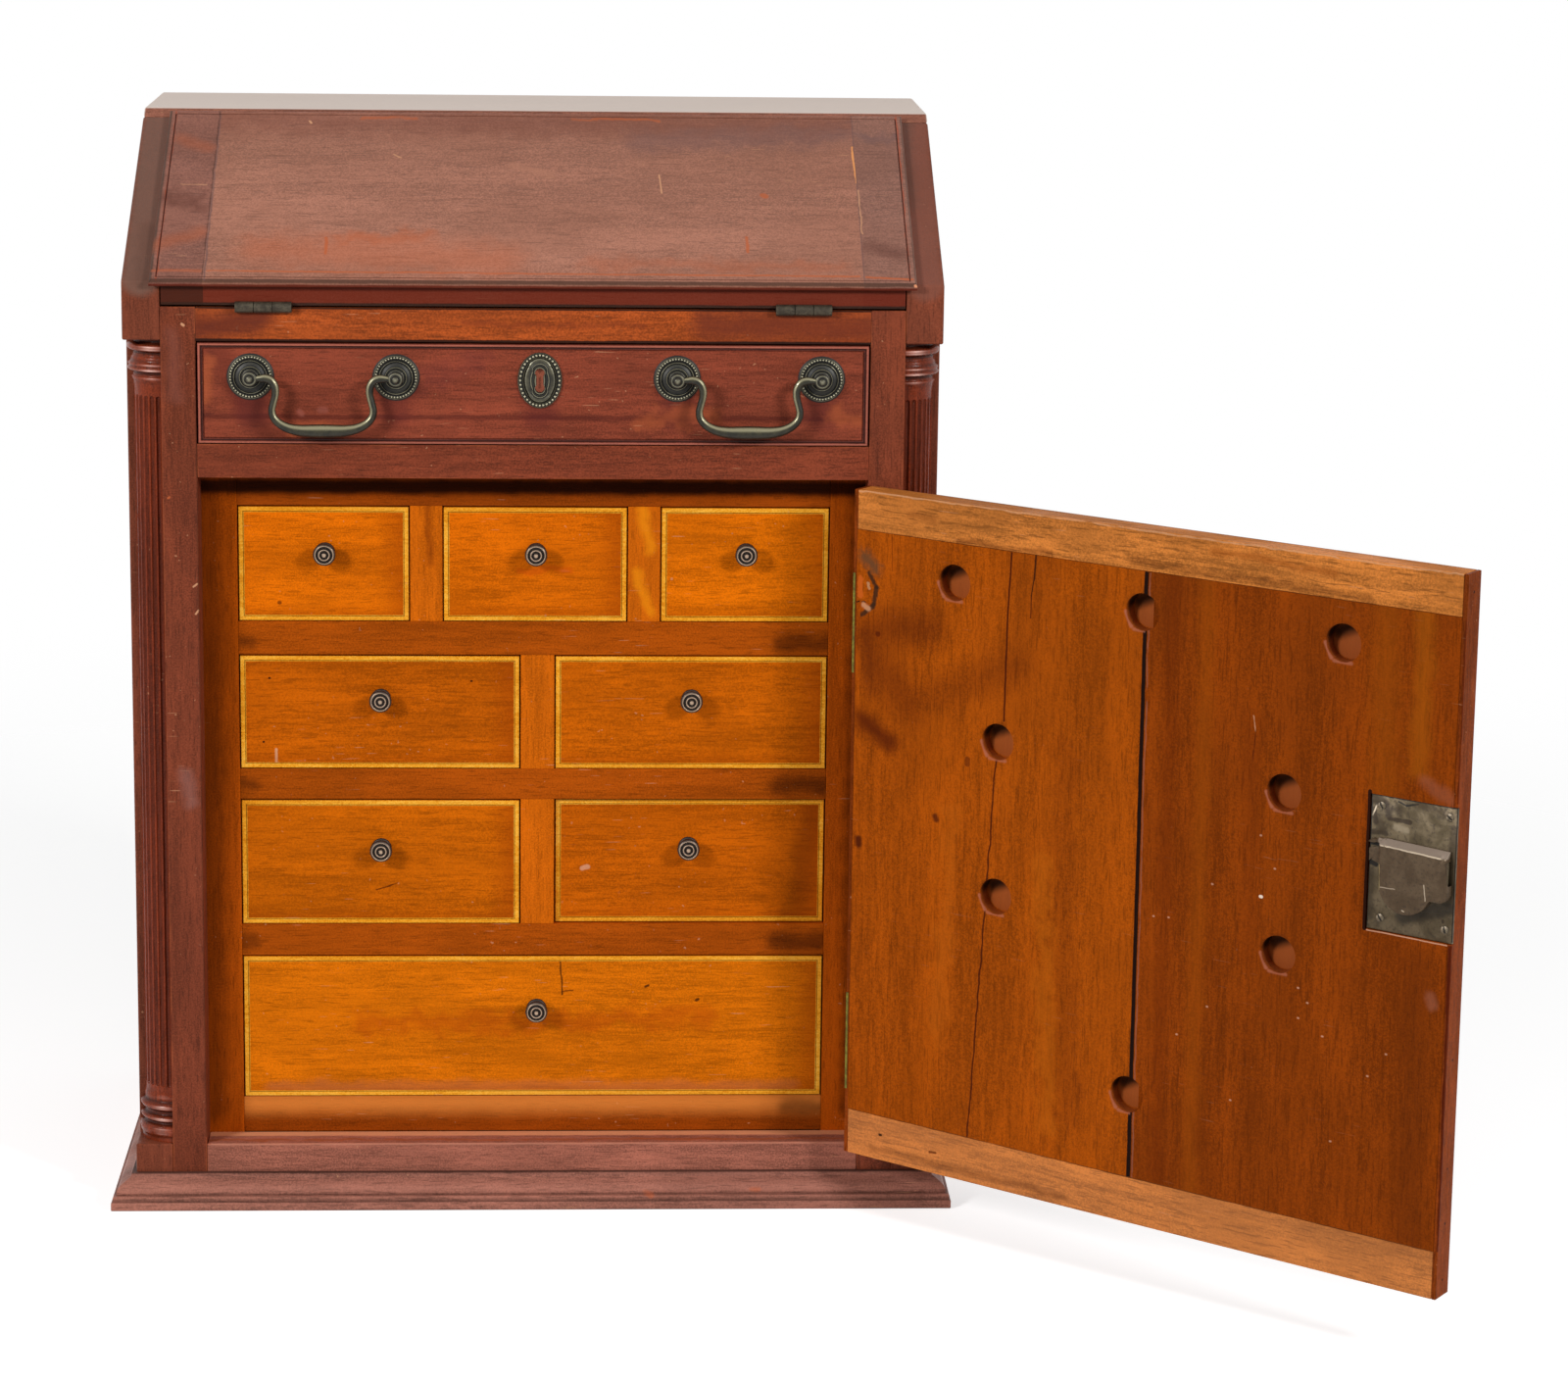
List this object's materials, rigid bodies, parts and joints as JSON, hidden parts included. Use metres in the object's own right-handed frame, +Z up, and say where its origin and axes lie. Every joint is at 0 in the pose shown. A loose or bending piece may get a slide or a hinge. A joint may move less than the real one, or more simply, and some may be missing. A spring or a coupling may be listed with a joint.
{
  "type": "slant front spice desk",
  "caption": "Table-top slant front desk with a fall front, a wide drawer and a hinged door over a nest of small spice drawers.",
  "frame": {"origin": "centre of the case's underside, on the surface that the desk stands on", "axes": "+X to the right as seen from the front, +Y to the back, +Z up; the drawers pull out along -Y"},
  "size_m": [0.7223, 0.4908, 0.6175],
  "materials": {
    "case_mahogany": "worn red-brown varnish",
    "door_edging": "worn red-brown varnish",
    "secondary_wood": "bare aged softwood",
    "nest_wood": "thin aged varnish",
    "drawer_lining": "bare aged wood",
    "spice_drawer_wood": "satin varnish with pale inlaid border",
    "door_wood": "thin worn stain",
    "antique_brass": "dark greenish patina",
    "knob_brass": "dull turned brass",
    "hinge_brass": "tarnished",
    "lock_iron": "dull with old brown patina"
  },
  "bodies": {
    "case": {"case_side_left": "case_mahogany", "case_side_right": "case_mahogany", "top_board": "case_mahogany", "back_board": "secondary_wood", "bottom_board": "secondary_wood", "stile_left": "case_mahogany", "stile_right": "case_mahogany", "hinge_rail": "case_mahogany", "drawer_rail": "case_mahogany", "bottom_rail": "case_mahogany", "base_moulding": "case_mahogany", "quarter_column_left": "case_mahogany", "quarter_column_right": "case_mahogany", "desk_floor": "secondary_wood", "dust_board": "secondary_wood", "drawer_guides": "secondary_wood", "nest_stiles": "nest_wood", "nest_sides": "nest_wood", "nest_rails": "nest_wood", "nest_shelves": "nest_wood", "nest_dividers": "nest_wood", "lid_hinge_plates": "hinge_brass", "door_hinge_plates": "hinge_brass"},
    "fall_front": {"lid_panel": "case_mahogany", "lid_cleat_left": "case_mahogany", "lid_cleat_right": "case_mahogany", "lid_hinge_leaves": "hinge_brass"},
    "top_drawer": {"top_drawer_front": "case_mahogany", "top_drawer_sides": "drawer_lining", "top_drawer_back": "drawer_lining", "top_drawer_bottom": "drawer_lining", "top_drawer_escutcheon": "antique_brass", "bail_posts": "antique_brass"},
    "left_bail": {"bail_left": "antique_brass"},
    "right_bail": {"bail_right": "antique_brass"},
    "door": {"door_board_left": "door_wood", "door_board_right": "door_wood", "door_cleats": "door_wood", "door_edge_strips": "door_edging", "door_lock": "lock_iron", "door_lock_screws": "lock_iron", "door_hinge_leaves": "hinge_brass", "door_escutcheon": "hinge_brass"},
    "lock_bolt": {"door_lock_bolt": "lock_iron"},
    "small_drawer_1": {"spice_drawer_1": "spice_drawer_wood", "spice_knob_1": "knob_brass"},
    "small_drawer_2": {"spice_drawer_2": "spice_drawer_wood", "spice_knob_2": "knob_brass"},
    "small_drawer_3": {"spice_drawer_3": "spice_drawer_wood", "spice_knob_3": "knob_brass"},
    "small_drawer_4": {"spice_drawer_4": "spice_drawer_wood", "spice_knob_4": "knob_brass"},
    "small_drawer_5": {"spice_drawer_5": "spice_drawer_wood", "spice_knob_5": "knob_brass"},
    "small_drawer_6": {"spice_drawer_6": "spice_drawer_wood", "spice_knob_6": "knob_brass"},
    "small_drawer_7": {"spice_drawer_7": "spice_drawer_wood", "spice_knob_7": "knob_brass"},
    "small_drawer_8": {"spice_drawer_8": "spice_drawer_wood", "spice_knob_8": "knob_brass"}
  },
  "joints": [
    {"name": "fall_front_hinge", "type": "hinge", "parent": "case", "child": "fall_front", "pos_m": [0, -0.1216, 0.5205], "axis": [1, 0, 0], "range_deg": [0, 148.88]},
    {"name": "top_drawer_slide", "type": "slide", "parent": "case", "child": "top_drawer", "axis": [0, -1, 0], "range_m": [0, 0.15]},
    {"name": "left_bail_swing", "type": "hinge", "parent": "top_drawer", "child": "left_bail", "pos_m": [-0.1168, -0.128, 0.4815], "axis": [-1, 0, 0], "range_deg": [0, 120]},
    {"name": "right_bail_swing", "type": "hinge", "parent": "top_drawer", "child": "right_bail", "pos_m": [0.1196, -0.128, 0.4815], "axis": [-1, 0, 0], "range_deg": [0, 120]},
    {"name": "door_hinge", "type": "hinge", "parent": "case", "child": "door", "pos_m": [0.1882, -0.1234, 0.23], "axis": [0, 0, 1], "range_deg": [-142, 27]},
    {"name": "lock_bolt_slide", "type": "slide", "parent": "door", "child": "lock_bolt", "axis": [0.788, -0.6157, 0], "range_m": [0, 0.008]},
    {"name": "small_drawer_1_slide", "type": "slide", "parent": "case", "child": "small_drawer_1", "axis": [0, -1, 0], "range_m": [0, 0.13]},
    {"name": "small_drawer_2_slide", "type": "slide", "parent": "case", "child": "small_drawer_2", "axis": [0, -1, 0], "range_m": [0, 0.13]},
    {"name": "small_drawer_3_slide", "type": "slide", "parent": "case", "child": "small_drawer_3", "axis": [0, -1, 0], "range_m": [0, 0.13]},
    {"name": "small_drawer_4_slide", "type": "slide", "parent": "case", "child": "small_drawer_4", "axis": [0, -1, 0], "range_m": [0, 0.13]},
    {"name": "small_drawer_5_slide", "type": "slide", "parent": "case", "child": "small_drawer_5", "axis": [0, -1, 0], "range_m": [0, 0.13]},
    {"name": "small_drawer_6_slide", "type": "slide", "parent": "case", "child": "small_drawer_6", "axis": [0, -1, 0], "range_m": [0, 0.13]},
    {"name": "small_drawer_7_slide", "type": "slide", "parent": "case", "child": "small_drawer_7", "axis": [0, -1, 0], "range_m": [0, 0.13]},
    {"name": "small_drawer_8_slide", "type": "slide", "parent": "case", "child": "small_drawer_8", "axis": [0, -1, 0], "range_m": [0, 0.13]}
  ]
}
